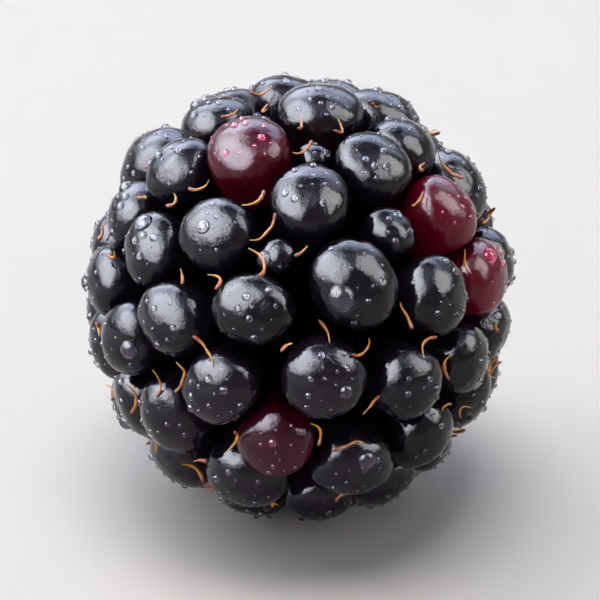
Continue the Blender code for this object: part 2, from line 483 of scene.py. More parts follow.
@dataclass(frozen=True)
class SkinFinish(Finish):
    """A drupelet's thin wet skin.

    Attributes:
        deep: The colour where it is ripest.
        light: The colour where it is least ripe.
        sheen_red: The colour of a blush.
        blush: How much of the skin blushes.
        roughness: How dull the gloss is.
        glow: How much light goes through the flesh, as a share.
        mirror: How strongly it mirrors, 0.5 being what its index gives.
        index: Its index of refraction.
        dulling: How much duller its dullest places are.
        relief: How deep its cells and waves are, in millimetres.
        reach: How far that light goes for red, green and blue, in millimetres.
    """

    deep: Colour
    light: Colour
    sheen_red: Colour
    blush: float
    roughness: float
    glow: float
    mirror: float
    index: float = 1.39
    dulling: float = 0.12
    relief: float = 0.06
    reach: Colour = (1.6, 0.35, 0.45)

    def material(self, effects: SharedEffects) -> bpy.types.Material:
        """Builds the material, with the shared effects' groups."""
        graph, shader, material = self.start()
        place = self.place(graph)
        cells = graph.node("ShaderNodeGroup", node_tree=effects.cells)
        graph.feed(cells.inputs["Vector"], place)
        blush = graph.node("ShaderNodeGroup", node_tree=effects.blush)
        graph.feed(blush.inputs["Vector"], place)
        graph.feed(blush.inputs["Outwards"], self.read(graph, "outwards"))
        amount = graph.math("MULTIPLY", self.read(graph, "unripeness"), self.blush)
        graph.feed(blush.inputs["Amount"], amount)
        body = graph.blend(self.read(graph, "tint"), rgba(self.deep), rgba(self.light))
        colour = graph.blend(blush.outputs["Mask"], body, rgba(self.sheen_red))
        graph.feed(shader.inputs["Base Color"], colour)
        gloss = graph.math(
            "MULTIPLY_ADD", cells.outputs["Dullness"], self.dulling, self.roughness
        )
        graph.feed(shader.inputs["Roughness"], gloss)
        normal = self.bump(graph, cells.outputs["Height"], self.relief)
        graph.feed(shader.inputs["Normal"], normal)
        shader.inputs["IOR"].default_value = self.index
        shader.inputs["Specular IOR Level"].default_value = self.mirror
        shader.inputs["Subsurface Weight"].default_value = self.glow
        shader.inputs["Subsurface Radius"].default_value = self.reach
        shader.inputs["Subsurface Scale"].default_value = MM
        return material


@dataclass(frozen=True)
class FleshFinish(Finish):
    """The receptacle: pale and fibrous at its end, and painted near black between the drupelets as
    painted shade for the deep gaps.

    Attributes:
        pale: The lighter colour of the fibres.
        tan: Their darker colour.
        gap_shade_colour: The colour among the drupelets.
        fibre_scale: How fine the fibres are.
        fibre_detail: How much fine detail they have.
        fibre_range: The noise levels between which pale turns tan.
        relief: How deep its cells and waves are, in millimetres.
        mirror: How strongly the pale end mirrors. The rest doesn't.
        roughness: How dull it is.
        glow: How much light goes through it, as a share.
        reach: How far that light goes for red, green and blue, in millimetres.
    """

    pale: Colour
    tan: Colour
    # gap_shade_colour: The near-black colour among the drupelets, painted shade for the deep gaps.
    gap_shade_colour: Colour
    fibre_scale: float = 2600.0
    fibre_detail: float = 4.0
    fibre_range: tuple[float, float] = (0.3, 0.7)
    relief: float = 0.08
    # mirror: How strongly the pale end mirrors. The rest doesn't, so that its painted shade stays
    # black.
    mirror: float = 0.4
    roughness: float = 0.55
    glow: float = 0.3
    reach: Colour = (1.0, 0.6, 0.35)

    def material(self, effects: SharedEffects) -> bpy.types.Material:
        """Builds the material, with the shared effects' groups."""
        graph, shader, material = self.start()
        place = self.place(graph)
        fibres = graph.remap(
            graph.noise(place, self.fibre_scale, self.fibre_detail), *self.fibre_range
        )
        body = graph.blend(fibres, rgba(self.pale), rgba(self.tan))
        # Painted shade: near black among the drupelets, where the gaps are deep.
        colour = graph.blend(self.read(graph, "shade_share"), body, rgba(self.gap_shade_colour))
        graph.feed(shader.inputs["Base Color"], colour)
        cells = graph.node("ShaderNodeGroup", node_tree=effects.cells)
        graph.feed(cells.inputs["Vector"], place)
        normal = self.bump(graph, cells.outputs["Height"], self.relief)
        graph.feed(shader.inputs["Normal"], normal)
        # Painted shade: no reflection among the drupelets, so the deep gaps stay black.
        gloss = graph.remap(self.read(graph, "shade_share"), 0.0, 1.0, (self.mirror, 0.0))
        graph.feed(shader.inputs["Specular IOR Level"], gloss)
        shader.inputs["Roughness"].default_value = self.roughness
        shader.inputs["Subsurface Weight"].default_value = self.glow
        shader.inputs["Subsurface Radius"].default_value = self.reach
        shader.inputs["Subsurface Scale"].default_value = MM
        return material


@dataclass(frozen=True)
class StyleFinish(Finish):
    """The dried styles: red brown at the root, then orange brown, paler at the tip.

    Attributes:
        root: The colour at the root.
        middle: The colour between.
        tip: The colour at the tip.
        root_end: The share of the length at which the root's colour has gone.
        tip_start: The share at which the tip's colour begins.
        relief: How deep its cells and waves are, in millimetres.
        mirror: How strongly it mirrors.
        roughness: How dull it is.
        glow: How much light goes through it, as a share.
        reach: How far that light goes for red, green and blue, in millimetres.
    """

    root: Colour
    middle: Colour
    tip: Colour
    root_end: float = 0.4
    tip_start: float = 0.6
    relief: float = 0.02
    mirror: float = 0.3
    roughness: float = 0.5
    glow: float = 0.25
    reach: Colour = (0.3, 0.15, 0.05)

    def material(self, effects: SharedEffects) -> bpy.types.Material:
        """Builds the material, with the shared effects' groups."""
        graph, shader, material = self.start()
        along = self.read(graph, "share")
        lower = graph.blend(
            graph.remap(along, 0.0, self.root_end), rgba(self.root), rgba(self.middle)
        )
        colour = graph.blend(graph.remap(along, self.tip_start, 1.0), lower, rgba(self.tip))
        graph.feed(shader.inputs["Base Color"], colour)
        cells = graph.node("ShaderNodeGroup", node_tree=effects.cells)
        graph.feed(cells.inputs["Vector"], self.place(graph))
        normal = self.bump(graph, cells.outputs["Height"], self.relief)
        graph.feed(shader.inputs["Normal"], normal)
        shader.inputs["Roughness"].default_value = self.roughness
        shader.inputs["Specular IOR Level"].default_value = self.mirror
        shader.inputs["Subsurface Weight"].default_value = self.glow
        shader.inputs["Subsurface Radius"].default_value = self.reach
        shader.inputs["Subsurface Scale"].default_value = MM
        return material


@dataclass(frozen=True)
class WaterFinish(Finish):
    """Clear rinse water.

    Attributes:
        index: Its index of refraction.
        ripple_scale: How fine its ripples are.
        relief: How deep they are, in millimetres.
    """

    index: float = 1.33
    ripple_scale: float = 900.0
    relief: float = 0.004

    def material(self) -> bpy.types.Material:
        """Builds the material."""
        graph, shader, material = self.start()
        ripple = graph.noise(self.place(graph), self.ripple_scale, 1.0)
        graph.feed(shader.inputs["Normal"], self.bump(graph, ripple, self.relief))
        shader.inputs["Base Color"].default_value = rgba((1.0, 1.0, 1.0))
        shader.inputs["Roughness"].default_value = 0.0
        shader.inputs["IOR"].default_value = self.index
        shader.inputs["Transmission Weight"].default_value = 1.0
        return material


@dataclass(frozen=True)
class FloorFinish(Finish):
    """A plain pale matt surface.

    Attributes:
        colour: Its colour.
        grain_scale: How fine its grain is.
        roughness: How dull it is at least, and at most.
        mirror: How strongly it mirrors.
    """

    colour: Colour
    grain_scale: float = 400.0
    roughness: tuple[float, float] = (0.55, 0.65)
    mirror: float = 0.05

    def material(self) -> bpy.types.Material:
        """Builds the material."""
        graph, shader, material = self.start()
        grain = graph.noise(self.place(graph), self.grain_scale)
        graph.feed(shader.inputs["Roughness"], graph.remap(grain, 0.0, 1.0, self.roughness))
        shader.inputs["Base Color"].default_value = rgba(self.colour)
        shader.inputs["Specular IOR Level"].default_value = self.mirror
        return material


# ---------------------------------------------------------------------------------------------
# How the fruit grows
# ---------------------------------------------------------------------------------------------


class Ripeness(Enum):
    """How far a drupelet has ripened.

    The value is its tint within its finish, from 0 to 1. A black one's tint is drawn.
    """

    BLACK = None
    PLUM = 0.5
    WINE = 0.9
    DULL_WINE = 0.0


@dataclass(frozen=True)
class Placed:
    """A drupelet of the front, which faces -Y.

    Attributes:
        from_tip: Degrees from the tip.
        hour: The hour on a clock face seen from the tip.
        size: The size as a share of the usual radius.
        ripeness: How far it has ripened.
    """

    from_tip: float
    hour: float
    size: float
    ripeness: Ripeness = Ripeness.BLACK

    def direction(self) -> Array:
        """The direction from the middle of the fruit, before it settles."""
        angle, turn = math.radians(self.from_tip), math.radians(30 * self.hour)
        across = math.sin(angle)
        return np.array((across * math.sin(turn), -math.cos(angle), across * math.cos(turn)))


FRONT = (
    Placed(9, 1.7, 0.98),
    Placed(20, 6.8, 0.92, Ripeness.DULL_WINE),
    Placed(24, 8.9, 0.94),
    Placed(29, 11.0, 0.93),
    Placed(34, 3.0, 0.91),
    Placed(34, 5.2, 0.98),
    Placed(37, 0.8, 1.06),
    Placed(40, 11.7, 0.42),
    Placed(44, 9.8, 0.94),
    Placed(46, 6.7, 1.02),
    Placed(47, 8.2, 0.94),
    Placed(50, 2.1, 0.94),
    Placed(54, 10.9, 0.93),
    Placed(56, 4.4, 0.89),
    Placed(59, 12.1, 1.01),
    Placed(60, 1.2, 0.62),
    Placed(60, 5.7, 0.92),
    Placed(63, 6.6, 0.94),
    Placed(65, 5.1, 0.90),
    Placed(66, 9.0, 0.92),
    Placed(68, 3.3, 0.92),
    Placed(68, 7.3, 0.94),
    Placed(69, 10.1, 0.92),
    Placed(71, 8.1, 0.90),
    Placed(74, 4.6, 0.88),
    Placed(75, 0.2, 0.42),
    Placed(75, 0.9, 0.98),
    Placed(75, 11.5, 1.06, Ripeness.PLUM),
    Placed(77, 3.9, 0.90),
    Placed(78, 2.5, 1.00, Ripeness.WINE),
    Placed(80, 1.7, 0.97, Ripeness.WINE),
    Placed(82, 9.4, 0.92),
    Placed(84, 8.7, 0.90),
    Placed(85, 10.7, 0.90),
    Placed(88, 3.3, 0.90),
    Placed(97, 11.6, 0.45),
    Placed(103, 0.3, 1.08),
)

GREAT_DROP_ON = 6  # the row, counted from 0, of the large drupelet that bears the great drop

STEM_END = np.array((0.0, 1.0, 0.0))
DOWN = Vector((0.0, 0.0, -1.0))


def unit(vectors: Array) -> Array:
    """Each row of an array at length 1."""
    return vectors / np.linalg.norm(vectors, axis=-1, keepdims=True)


@dataclass
class Growth:
    """The rule by which the drupelets grow, pack and settle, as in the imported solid.

    After it is made, the arrays centre, radius, out, side, across, oval and bulge hold a row for
    each drupelet, in metres. Its values are those of the solid, so they change together or not
    at all. Lengths are in metres and angles in radians.

    Attributes:
        outline_length: From the tip to the stem end.
        berry_width: Its greatest width.
        tip_narrowing: How much slimmer the tip is than the middle, as a share.
        drupelet_radius: The usual radius of a drupelet.
        spiral_count: How many places the spiral has.
        front_angle: How far from the tip the placed drupelets stand instead of the spiral's.
        scar_angle: How far from the stem end the drupelets keep.
        held_back: How far the placed ones give way, when the rest give way by 1.
        size_spread: The usual difference in size, as a share.
        free_size: The usual size of those not placed, as a share of the radius.
        small_ones: How many of them stayed small.
        small_size: The size of those.
        usual_bulge: How far a drupelet stands out, as a share of its radius.
        oval_spread: How oval one can be, as a share.
        bulge_spread: How much the bulge can differ, as a share.
        wobble: How unevenly they point outwards.
        lift_per_size: How much further out a larger one sits, as a share of its extra radius.
        lift_spread: The usual difference in how far out they sit.
        limit: The most usual differences that a draw may be off.
        tip_lean: How far they lean to the tip.
        seed: The seed of the draws.
        packing_rounds: How often they push each other.
        reach: The distance at which two stop pushing, as a share of both radii.
        push: How far they move each time, as a share of what they overlap.
        contact_depth: How much of the fruit's lowest part is pressed flat.
        search_steps: The steps of the search for the lowest rest, in degrees.
        search_half_width: How many steps the search looks to each side.
        skin_gap: The gap between two pressed skins.
        placed: The row of each placed drupelet, by the drupelet's number.
    """

    outline_length: float = 28.4 * MM
    berry_width: float = 24.2 * MM
    tip_narrowing: float = 0.05
    drupelet_radius: float = 2.34 * MM
    spiral_count: int = 90
    front_angle: float = math.radians(80)
    scar_angle: float = math.radians(30)
    held_back: float = 0.03
    size_spread: float = 0.08
    free_size: float = 0.96
    small_ones: int = 5
    small_size: float = 0.6
    usual_bulge: float = 0.74
    oval_spread: float = 0.10
    bulge_spread: float = 0.06
    wobble: float = 0.08
    lift_per_size: float = 0.3
    lift_spread: float = 0.10 * MM
    limit: float = 1.5
    tip_lean: float = 0.12
    seed: int = 98
    packing_rounds: int = 300
    reach: float = 1.3
    push: float = 0.1
    contact_depth: float = 0.25 * MM
    search_steps: tuple[float, ...] = (0.8, 0.08, 0.008)
    search_half_width: int = 10
    skin_gap: float = 0.03 * MM
    placed: dict[int, Placed] = field(default_factory=dict)

    def __post_init__(self) -> None:
        """Grows the drupelets and lets the fruit settle."""
        self._grow()
        self._settle()

    def ovoid_axes(self, depth: float) -> Array:
        """Half width, half length and half height of the outline, taken in by depth."""
        half_width = self.berry_width / 2 - depth
        return np.array((half_width, self.outline_length / 2 - depth, half_width))

    def stretch(self, directions: Array, depth: float) -> Array:
        """What turns directions into points of the outline taken in by depth."""
        slimming = 1 + self.tip_narrowing * directions[:, 1]
        return self.ovoid_axes(depth) * np.stack(
            (slimming, np.ones(len(directions)), slimming), axis=1
        )

    def faces(self) -> Array:
        """The direction in which each drupelet's face lies, before the fruit settled."""
        return unit((self.centre - self.shift) @ self.turn / self.ovoid_axes(0.0))

    def _spiral(self) -> Array:
        """Directions in a golden-angle spiral from the tip to the edge of the scar."""
        steps = np.arange(self.spiral_count)
        turns = steps * math.pi * (3 - math.sqrt(5))
        along = -1 + (steps + 0.5) / self.spiral_count * (1 + math.cos(self.scar_angle))
        across = np.sqrt(1 - along**2)
        return np.stack((across * np.cos(turns), along, across * np.sin(turns)), axis=1)

    def _keep_off_scar(self, directions: Array) -> Array:
        """Moves any direction that leans into the scar's cone out to its edge."""
        along = directions @ STEM_END
        edge = math.cos(self.scar_angle)
        sideways = unit(directions - along[:, None] * STEM_END)
        at_edge = edge * STEM_END + math.sin(self.scar_angle) * sideways
        return np.where((along > edge)[:, None], at_edge, directions)

    def _packed(self, directions: Array, freedom: Array, depth: float) -> Array:
        """Directions after the drupelets have pushed each other to an even packing.

        Args:
            directions: Where each drupelet starts.
            freedom: How far each one gives way.
            depth: How far the drupelets' centres lie below the outline.

        Returns:
            The new directions.
        """
        wanted = (self.radius[:, None] + self.radius[None, :]) * self.reach
        for _ in range(self.packing_rounds):
            size = self.stretch(directions, depth)
            points = directions * size
            apart = points[:, None, :] - points[None, :, :]
            distance = np.linalg.norm(apart, axis=2) + np.eye(len(points))
            overlap = np.clip(wanted - distance, 0, None) * (1 - np.eye(len(points)))
            shift = (apart / distance[..., None] * overlap[..., None]).sum(axis=1) * self.push
            directions = self._keep_off_scar(unit((points + shift * freedom[:, None]) / size))
        return directions

    def _grow(self) -> None:
        """Draws each drupelet's size and shape, and packs them."""
        rng = np.random.default_rng(self.seed)
        directions, rows = self._spiral(), {}
        for row in FRONT:
            closeness = directions @ row.direction()
            closeness[list(rows)] = -math.inf
            nearest = int(closeness.argmax())
            directions[nearest] = row.direction()
            rows[nearest] = row
        in_front = directions @ -STEM_END > math.cos(self.front_angle)
        kept = [i for i in range(self.spiral_count) if i in rows or not in_front[i]]
        self.placed = {place: rows[i] for place, i in enumerate(kept) if i in rows}
        directions = directions[kept]
        self.count = len(kept)
        share = self.free_size + self.size_spread * np.clip(
            rng.standard_normal(self.count), -self.limit, self.limit
        )
        share[rng.choice(self.count, self.small_ones, replace=False)] = self.small_size
        freedom = np.ones(self.count)
        for place, row in self.placed.items():
            share[place] = row.size
            freedom[place] = self.held_back
        self.radius = self.drupelet_radius * share
        depth = self.drupelet_radius * self.usual_bulge
        directions = self._packed(directions, freedom, depth)
        normal = unit(directions / self.ovoid_axes(depth))
        lean = unit(-STEM_END + (normal @ STEM_END)[:, None] * normal)
        wobble = self.wobble * rng.standard_normal((self.count, 3))
        self.out = unit(normal + self.tip_lean * lean + wobble)
        lift = self.lift_per_size * (self.radius - self.drupelet_radius)
        draws = np.clip(rng.standard_normal(self.count), -self.limit, self.limit)
        lift += self.lift_spread * draws
        self.centre = directions * self.stretch(directions, depth) + lift[:, None] * normal
        turned = unit(rng.standard_normal((self.count, 3)))
        self.side = unit(np.cross(self.out, turned))
        self.across = np.cross(self.out, self.side)
        self.oval = 1 + self.oval_spread * rng.uniform(-1, 1, self.count)
        self.bulge = self.usual_bulge * (1 + self.bulge_spread * rng.uniform(-1, 1, self.count))

    def _lowest(self, downs: Array) -> Array:
        """How far the fruit reaches along each of the directions."""
        wide = (self.side @ downs.T) * (self.radius * self.oval)[:, None]
        deep = (self.across @ downs.T) * (self.radius / self.oval)[:, None]
        high = (self.out @ downs.T) * (self.radius * self.bulge)[:, None]
        return (self.centre @ downs.T + np.sqrt(wide**2 + deep**2 + high**2)).max(axis=0)

    def _settle(self) -> None:
        """Turns the fruit until its middle is as low as it can be, and sets it down."""
        steps = np.arange(-self.search_half_width, self.search_half_width + 1)
        grid = np.stack(np.meshgrid(steps, steps), axis=-1).reshape(-1, 2)
        tilt = np.zeros(2)
        for step in self.search_steps:
            angles = np.radians(grid * step) + tilt
            downs = unit(np.column_stack((np.tan(angles), -np.ones(len(angles)))))
            heights = self._lowest(downs) - downs @ self.centre.mean(axis=0)
            tilt = angles[heights.argmin()]
        lowest_down = Vector((math.tan(tilt[0]), math.tan(tilt[1]), -1.0))
        self.turn = np.array(lowest_down.rotation_difference(DOWN).to_matrix())
        for name in ("centre", "out", "side", "across"):
            setattr(self, name, getattr(self, name) @ self.turn.T)
        ends = self._lowest(np.concatenate((np.eye(3), -np.eye(3))))
        middle = (ends[:3] - ends[3:]) / 2
        self.shift = np.array((-middle[0], -middle[1], ends[5] - self.contact_depth))
        self.centre = self.centre + self.shift

    def in_frame(self, points: Array) -> Array:
        """Points of the fruit before it settled, where they are after."""
        return points @ self.turn.T + self.shift

    def tip_way(self) -> Array:
        """The direction in which the tip points."""
        return -STEM_END @ self.turn.T

    def walls(self, most: int) -> Array:
        """The walls that neighbours make round each drupelet.

        Args:
            most: How many of the nearest neighbours count.

        Returns:
            For each drupelet, a row for each neighbour: the direction to it over the distance of
            the wall between them, so that a point's share of the way to the wall is a dot product.
        """
        found = np.zeros((self.count, most, 3))
        for i in range(self.count):
            towards = np.delete(self.centre - self.centre[i], i, axis=0)
            distance = np.linalg.norm(towards, axis=1)
            others = np.delete(self.radius, i)
            wall = distance * self.radius[i] / (self.radius[i] + others) - self.skin_gap / 2
            near = np.argsort(distance)[:most]
            found[i] = (towards / distance[:, None] / wall[:, None])[near]
        return found


# ---------------------------------------------------------------------------------------------
# The drupelets
# ---------------------------------------------------------------------------------------------


@dataclass
class Drupelets:
    """All the drupelets: the ripe ones in three belts, and the red ones.

    Attributes:
        growth: Where they are.
        ball_cuts: How fine each one's mesh is.
        root_depth: How far one reaches inwards, as a share of its radius.
        root_taper: How much it narrows there.
        pressing: How sharply neighbours flatten each other.
        neighbours: How many of them press.
        dimple: The depth of the mark that the style left, in millimetres.
        dimple_edge: How near a point is to the mark's middle where the mark begins, as a cosine.
        dimple_lean: The least and greatest angle from the face to the mark, in degrees.
        dimple_stray: How far the mark strays from the way to the tip.
        wave: How uneven the skin is, in millimetres.
        wave_size: How long its waves are, in millimetres.
        wave_detail: How much fine detail they have.
        belts: The shares of the drupelets that lie behind the tip's belt and the girdle's.
        seed: The seed of the draws.
    """

    growth: Growth
    ball_cuts: int = 5
    root_depth: float = 2.9
    root_taper: float = 0.3
    pressing: float = 8.0
    neighbours: int = 9
    dimple: float = 0.05
    dimple_edge: float = 0.955
    dimple_lean: tuple[float, float] = (35.0, 62.0)
    dimple_stray: float = 0.45
    wave: float = 0.32
    wave_size: float = 1.9
    wave_detail: float = 1.5
    belts: tuple[float, float] = (0.64, 0.32)
    seed: int = 4

    def _start(self, chosen: Array) -> bpy.types.Mesh:
        """The points that the chosen drupelets grow on, with all that shapes them."""
        growth = self.growth
        rng = np.random.default_rng(self.seed)
        style_way = self._style_ways()
        tint = rng.uniform(0, 1, growth.count)
        unripe = rng.uniform(0, 1, growth.count) ** 2
        for i, row in growth.placed.items():
            if row.ripeness is not Ripeness.BLACK:
                tint[i] = row.ripeness.value
        values = {
            "centre": growth.centre,
            "out": growth.out,
            "side": growth.side,
            "size": np.stack(
                (
                    growth.radius * growth.oval,
                    growth.radius / growth.oval,
                    growth.radius * growth.bulge,
                ),
                axis=1,
            ),
            "style_way": style_way,
            "tint": tint,
            "unripeness": unripe,
        }
        walls = growth.walls(self.neighbours)
        for k in range(self.neighbours):
            values[f"wall_{k}"] = walls[:, k]
        picked = {key: value[chosen] for key, value in values.items()}
        return points_mesh("drupelet_places", growth.centre[chosen], picked)

    def _style_ways(self) -> Array:
        """The direction from each drupelet's centre to the mark that its style left."""
        growth = self.growth
        rng = np.random.default_rng(self.seed + 1)
        to_tip = growth.tip_way() - (growth.out @ growth.tip_way())[:, None] * growth.out
        angle = np.radians(rng.uniform(*self.dimple_lean, growth.count))[:, None]
        sideways = self.dimple_stray * rng.standard_normal((growth.count, 3))
        return unit(np.cos(angle) * growth.out + np.sin(angle) * (unit(to_tip) + sideways))

    def _tree(self, material: bpy.types.Material) -> GrowthTree:
        """The tree that grows a plump drupelet on each point and presses neighbours together."""
        tree = GrowthTree.new("drupelet_growth")
        given = tree.given
        root, taper = given("Root depth", self.root_depth), given("Root taper", self.root_taper)
        pressing = given("Pressing", self.pressing)
        dimple, wave = given("Dimple", self.dimple * MM), given("Wave", self.wave * MM)
        wave_scale = given("Wave scale", 1 / (self.wave_size * MM))
        cuts = given("Ball cuts", self.ball_cuts)
        skin = given("Skin", material)
        ball = tree.node("GeometryNodeMeshIcoSphere", {"Radius": 1.0, "Subdivisions": cuts})
        x, y, z = tree.parts(tree.position())
        inwards = tree.math("MAXIMUM", tree.math("MULTIPLY", z, -1.0), 0.0)
        slim = tree.math("MULTIPLY", inwards, inwards)
        slim = tree.math("SUBTRACT", 1.0, tree.math("MULTIPLY", slim, taper))
        depth = tree.math("MULTIPLY", inwards, tree.math("SUBTRACT", 1.0, root))
        drop = tree.combine(
            tree.math("MULTIPLY", x, slim), tree.math("MULTIPLY", y, slim), tree.math("ADD", z, depth)
        )
        shaped = tree.moved(ball.outputs["Mesh"], to=drop)
        facing = tree.node(
            "FunctionNodeAxesToRotation",
            {0: tree.attribute("out"), 1: tree.attribute("side")},
            primary_axis="Z",
            secondary_axis="X",
        ).outputs[0]
        placed = tree.node(
            "GeometryNodeInstanceOnPoints",
            {
                "Points": tree.group_in.outputs[0],
                "Instance": shaped,
                "Rotation": facing,
                "Scale": tree.attribute("size"),
            },
        ).outputs[0]
        skins = tree.node("GeometryNodeRealizeInstances", {"Geometry": placed}).outputs[0]
        skins = self._pressed(tree, skins, pressing)
        skins = self._uneven(tree, skins, dimple, wave, wave_scale)
        tree.finish(tree.set_down(skins), skin)
        return tree

    def _pressed(self, tree: GrowthTree, skins: object, pressing: object) -> bpy.types.NodeSocket:
        """Draws every point in towards its drupelet's centre where a neighbour's wall is near."""
        centre = tree.attribute("centre")
        arm = tree.vector("SUBTRACT", tree.position(), centre)
        total = 1.0
        for k in range(self.neighbours):
            share = tree.measure("DOT_PRODUCT", arm, tree.attribute(f"wall_{k}"))
            press = tree.math("POWER", tree.math("MAXIMUM", share, 0.0), pressing)
            total = tree.math("ADD", total, press)
        shrink = tree.math("POWER", total, tree.math("DIVIDE", -1.0, pressing))
        return tree.moved(skins, to=tree.vector("ADD", centre, tree.scaled(arm, shrink)))

    def _uneven(self, tree: GrowthTree, skins: object, dimple: object, wave: object,
                scale: object) -> bpy.types.NodeSocket:
        """Gives the skins their gentle waves, and the mark that each style left."""
        way = tree.vector(
            "NORMALIZE", tree.vector("SUBTRACT", tree.position(), tree.attribute("centre"))
        )
        nearness = tree.measure("DOT_PRODUCT", way, tree.attribute("style_way"))
        pit = tree.math("MULTIPLY", tree.remap(nearness, self.dimple_edge, 1.0), dimple)
        waves = tree.noise(tree.position(), scale, self.wave_detail)
        waves = tree.math("SUBTRACT", waves, 0.5)
        change = tree.math("SUBTRACT", tree.math("MULTIPLY", waves, wave), pit)
        moved = tree.moved(skins, by=tree.scaled(way, change))
        outwards = tree.measure("DOT_PRODUCT", way, tree.attribute("out"))
        return tree.store(moved, "outwards", outwards)

    def build(self, ripe: bpy.types.Material, red: bpy.types.Material) -> list[bpy.types.Object]:
        """Grows the drupelets.

        Args:
            ripe: The finish of the black ones.
            red: The finish of the red ones.

        Returns:
            The ripe drupelets in three belts from the tip to the stem end, and the red ones.
        """
        is_red = np.zeros(self.growth.count, bool)
        for i, row in self.growth.placed.items():
            is_red[i] = row.ripeness is not Ripeness.BLACK
        tipwards = self.growth.centre @ self.growth.tip_way()
        girdle, stem = np.quantile(tipwards, self.belts)
        kept = ("tint", "unripeness", "outwards")
        built = []
        for name, chosen, material, slot in (
            ("tip_drupelets", ~is_red & (tipwards >= girdle), ripe, Slot.RIPE_SKIN),
            ("girdle_drupelets", ~is_red & (tipwards < girdle) & (tipwards >= stem), ripe,
             Slot.RIPE_SKIN),
            ("stem_drupelets", ~is_red & (tipwards < stem), ripe, Slot.RIPE_SKIN),
            ("red_drupelets", is_red, red, Slot.RED_SKIN),
        ):
            piece = self._tree(material).grown(name, self._start(chosen), kept)
            built.append(piece)
        return built


# ---------------------------------------------------------------------------------------------
# The receptacle
# ---------------------------------------------------------------------------------------------


